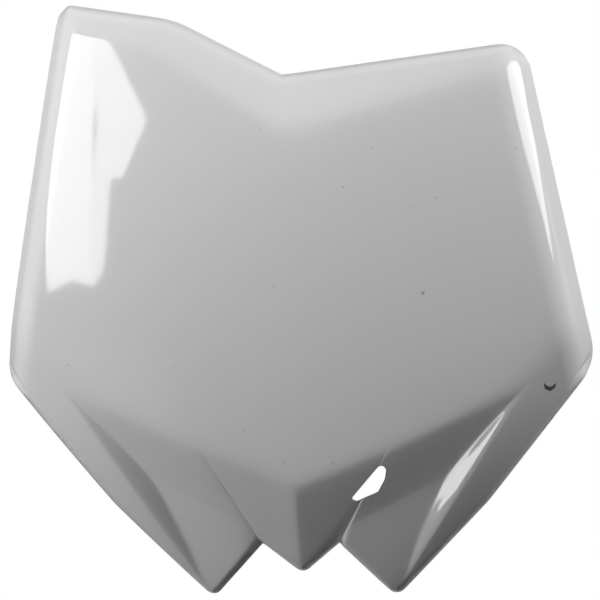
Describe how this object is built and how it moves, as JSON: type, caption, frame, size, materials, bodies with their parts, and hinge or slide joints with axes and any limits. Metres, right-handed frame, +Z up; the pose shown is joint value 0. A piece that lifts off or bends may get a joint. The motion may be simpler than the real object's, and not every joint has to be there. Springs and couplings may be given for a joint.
{
  "type": "racing number board",
  "caption": "Moulded white front number board with a crowned face, a folded lower edge with two wings and a beak, rolled edges, and two pegs and a strap bridge on the back",
  "frame": {"origin": "centre of the bounding box across and in depth, at the height of the wing tips", "axes": "X across the board, Y from the front of the face to the back, Z up"},
  "size_m": [0.2586, 0.0356, 0.2612],
  "materials": {
    "board_plastic": "glossy white injection-moulded polypropylene with light wear"
  },
  "bodies": {
    "root": {"number_board": "board_plastic"}
  },
  "joints": []
}
